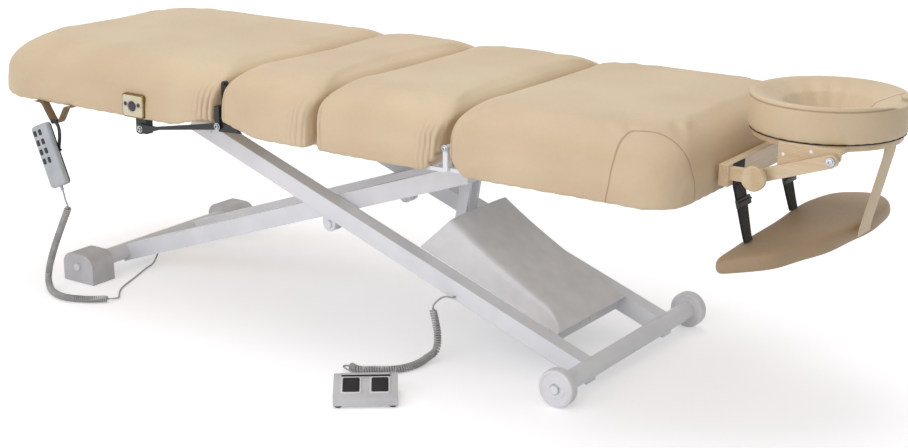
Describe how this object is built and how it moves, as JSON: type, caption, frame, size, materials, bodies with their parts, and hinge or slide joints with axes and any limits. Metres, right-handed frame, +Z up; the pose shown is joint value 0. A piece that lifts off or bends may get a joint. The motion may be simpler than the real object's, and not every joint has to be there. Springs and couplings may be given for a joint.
{
  "type": "massage table",
  "caption": "Electric lift massage table with a padded, folding sectional top on an X-frame, a face cradle, an armrest shelf, a corded handset and a foot switch.",
  "frame": {"origin": "on the floor, under the middle of the outline of everything but the free cords", "axes": "+X along the table from the back section to the face cradle, +Y from the side with the handset to the far side, +Z up"},
  "size_m": [2.1262, 0.8928, 0.6415],
  "materials": {
    "upholstery": "satin",
    "frame_paint": "satin",
    "grey_plastic": "matte",
    "black_paint": "satin",
    "black_plastic": "matte",
    "black_web": "matte",
    "plywood": "matte",
    "clear_birch": "satin",
    "wheel_plastic": "matte",
    "cord_plastic": "matte",
    "bright_steel": "satin"
  },
  "bodies": {
    "base": {"foot_block_near": "grey_plastic", "foot_block_far": "grey_plastic", "foot_switch_case": "grey_plastic", "handset_cord": "cord_plastic", "foot_switch_cord": "cord_plastic"},
    "foot_frame": {"foot_axle": "frame_paint", "inner_tube_near": "frame_paint", "inner_tube_far": "frame_paint", "lift_lever": "frame_paint"},
    "wheel_frame": {"outer_tube_near": "frame_paint", "outer_tube_far": "frame_paint", "wheel_axle": "frame_paint", "drive_cross_member": "frame_paint", "motor_cover": "grey_plastic"},
    "near_wheel": {"wheel_near": "wheel_plastic"},
    "far_wheel": {"wheel_far": "wheel_plastic"},
    "housing": {"actuator_housing": "black_plastic"},
    "rod": {"actuator_rod": "bright_steel"},
    "deck": {"deck_rail_near": "frame_paint", "deck_rail_far": "frame_paint", "deck_bracket_near": "frame_paint", "deck_bracket_far": "frame_paint", "seat_hinge_bar": "frame_paint", "thigh_hinge_bar": "frame_paint", "seat_board": "plywood", "seat_cushion": "upholstery", "seat_plate_near": "black_paint", "seat_plate_far": "black_paint"},
    "back": {"back_board": "plywood", "back_cushion": "upholstery", "hinge_arm_near": "black_paint", "hinge_arm_far": "black_paint", "outlet_plate": "bright_steel", "handset_strap": "black_web"},
    "handset": {"handset_case": "grey_plastic"},
    "thigh": {"thigh_panel": "plywood", "thigh_cushion": "upholstery"},
    "leg": {"leg_panel": "plywood", "leg_cushion": "upholstery", "cradle_crossbar": "clear_birch", "shelf_strap_near": "black_web", "shelf_strap_far": "black_web", "armrest_shelf": "upholstery"},
    "cradle_arms": {"cradle_arm_near": "clear_birch", "cradle_arm_far": "clear_birch"},
    "cradle": {"cradle_platform": "clear_birch", "face_pad": "upholstery", "shelf_end_strap": "upholstery"},
    "cradle_lock": {"cradle_knob": "clear_birch"},
    "left_pedal": {"foot_pedal_left": "black_plastic"},
    "right_pedal": {"foot_pedal_right": "black_plastic"},
    "button_1": {"handset_button_1": "black_plastic"},
    "button_2": {"handset_button_2": "black_plastic"},
    "button_3": {"handset_button_3": "black_plastic"},
    "button_4": {"handset_button_4": "black_plastic"},
    "button_5": {"handset_button_5": "black_plastic"},
    "button_6": {"handset_button_6": "black_plastic"},
    "button_7": {"handset_button_7": "black_plastic"},
    "button_8": {"handset_button_8": "black_plastic"}
  },
  "joints": [
    {"name": "lift", "type": "hinge", "parent": "base", "child": "foot_frame", "pos_m": [-0.85514, 0.10141, 0.04], "axis": [0, -1, 0], "range_deg": [-3, 14], "deforming": ["handset_cord", "foot_switch_cord"]},
    {"name": "scissor", "type": "hinge", "parent": "foot_frame", "child": "wheel_frame", "pos_m": [-0.17814, 0.10141, 0.23197], "axis": [0, -1, 0], "range_deg": [-28.5, 6.5]},
    {"name": "deck_level", "type": "hinge", "parent": "wheel_frame", "child": "deck", "pos_m": [-0.50514, 0.10141, 0.41], "axis": [0, -1, 0], "range_deg": [-3.2, 14.2]},
    {"name": "near_wheel_spin", "type": "hinge", "parent": "wheel_frame", "child": "near_wheel", "pos_m": [0.49886, -0.17959, 0.04], "axis": [0, 1, 0], "continuous": true},
    {"name": "far_wheel_spin", "type": "hinge", "parent": "wheel_frame", "child": "far_wheel", "pos_m": [0.49886, 0.38241, 0.04], "axis": [0, 1, 0], "continuous": true},
    {"name": "drive_swing", "type": "hinge", "parent": "wheel_frame", "child": "housing", "pos_m": [0.35886, 0.10141, 0.07003], "axis": [0, 1, 0], "range_deg": [-4, 15]},
    {"name": "drive_stroke", "type": "slide", "parent": "housing", "child": "rod", "axis": [-0.8995, 0, 0.4369], "range_m": [-0.018, 0.084]},
    {"name": "back_tilt", "type": "hinge", "parent": "deck", "child": "back", "pos_m": [-0.33614, 0.10141, 0.558], "axis": [0, 1, 0], "range_deg": [0, 70]},
    {"name": "handset_hang", "type": "hinge", "parent": "back", "child": "handset", "pos_m": [-0.84114, -0.24419, 0.414], "axis": [0, 1, 0], "range_deg": [-71, 0.5]},
    {"name": "thigh_tilt", "type": "hinge", "parent": "deck", "child": "thigh", "pos_m": [-0.07514, 0.10141, 0.528], "axis": [0, -1, 0], "range_deg": [0, 25]},
    {"name": "leg_level", "type": "hinge", "parent": "thigh", "child": "leg", "pos_m": [0.25986, 0.10141, 0.505], "axis": [0, -1, 0], "range_deg": [-25.5, 0.5]},
    {"name": "cradle_tilt", "type": "hinge", "parent": "leg", "child": "cradle_arms", "pos_m": [0.84886, 0.10141, 0.502], "axis": [0, -1, 0], "range_deg": [-15, 40]},
    {"name": "cradle_level", "type": "hinge", "parent": "cradle_arms", "child": "cradle", "pos_m": [0.98686, 0.10141, 0.55], "axis": [0, -1, 0], "range_deg": [-40.5, 15.5]},
    {"name": "cradle_lock_turn", "type": "hinge", "parent": "leg", "child": "cradle_lock", "pos_m": [0.84886, -0.10859, 0.502], "axis": [0, 1, 0], "range_deg": [0, 90]},
    {"name": "left_pedal_press", "type": "hinge", "parent": "base", "child": "left_pedal", "pos_m": [0.12591, -0.36835, 0.03504], "axis": [0.7997, 0.6004, 0], "range_deg": [0, 3], "stiffness_Nm_per_rad": 30, "springref_deg": -1.72},
    {"name": "right_pedal_press", "type": "hinge", "parent": "base", "child": "right_pedal", "pos_m": [0.17229, -0.33352, 0.03504], "axis": [0.7997, 0.6004, 0], "range_deg": [0, 3], "stiffness_Nm_per_rad": 30, "springref_deg": -1.72},
    {"name": "button_1_press", "type": "slide", "parent": "handset", "child": "button_1", "axis": [0, 1, 0], "range_m": [0, 0.0015], "stiffness_N_per_m": 800, "springref_m": -0.001},
    {"name": "button_2_press", "type": "slide", "parent": "handset", "child": "button_2", "axis": [0, 1, 0], "range_m": [0, 0.0015], "stiffness_N_per_m": 800, "springref_m": -0.001},
    {"name": "button_3_press", "type": "slide", "parent": "handset", "child": "button_3", "axis": [0, 1, 0], "range_m": [0, 0.0015], "stiffness_N_per_m": 800, "springref_m": -0.001},
    {"name": "button_4_press", "type": "slide", "parent": "handset", "child": "button_4", "axis": [0, 1, 0], "range_m": [0, 0.0015], "stiffness_N_per_m": 800, "springref_m": -0.001},
    {"name": "button_5_press", "type": "slide", "parent": "handset", "child": "button_5", "axis": [0, 1, 0], "range_m": [0, 0.0015], "stiffness_N_per_m": 800, "springref_m": -0.001},
    {"name": "button_6_press", "type": "slide", "parent": "handset", "child": "button_6", "axis": [0, 1, 0], "range_m": [0, 0.0015], "stiffness_N_per_m": 800, "springref_m": -0.001},
    {"name": "button_7_press", "type": "slide", "parent": "handset", "child": "button_7", "axis": [0, 1, 0], "range_m": [0, 0.0015], "stiffness_N_per_m": 800, "springref_m": -0.001},
    {"name": "button_8_press", "type": "slide", "parent": "handset", "child": "button_8", "axis": [0, 1, 0], "range_m": [0, 0.0015], "stiffness_N_per_m": 800, "springref_m": -0.001}
  ],
  "couplings": [
    {"joint": "scissor", "follows": "lift", "ratio": -2},
    {"joint": "deck_level", "follows": "lift", "ratio": 1},
    {"joint": "drive_swing", "follows": "lift", "ratio": 1.05},
    {"joint": "drive_stroke", "follows": "lift", "m_per_rad": 0.33805},
    {"joint": "handset_hang", "follows": "back_tilt", "ratio": -1},
    {"joint": "leg_level", "follows": "thigh_tilt", "ratio": -1},
    {"joint": "cradle_level", "follows": "cradle_tilt", "ratio": -1}
  ]
}
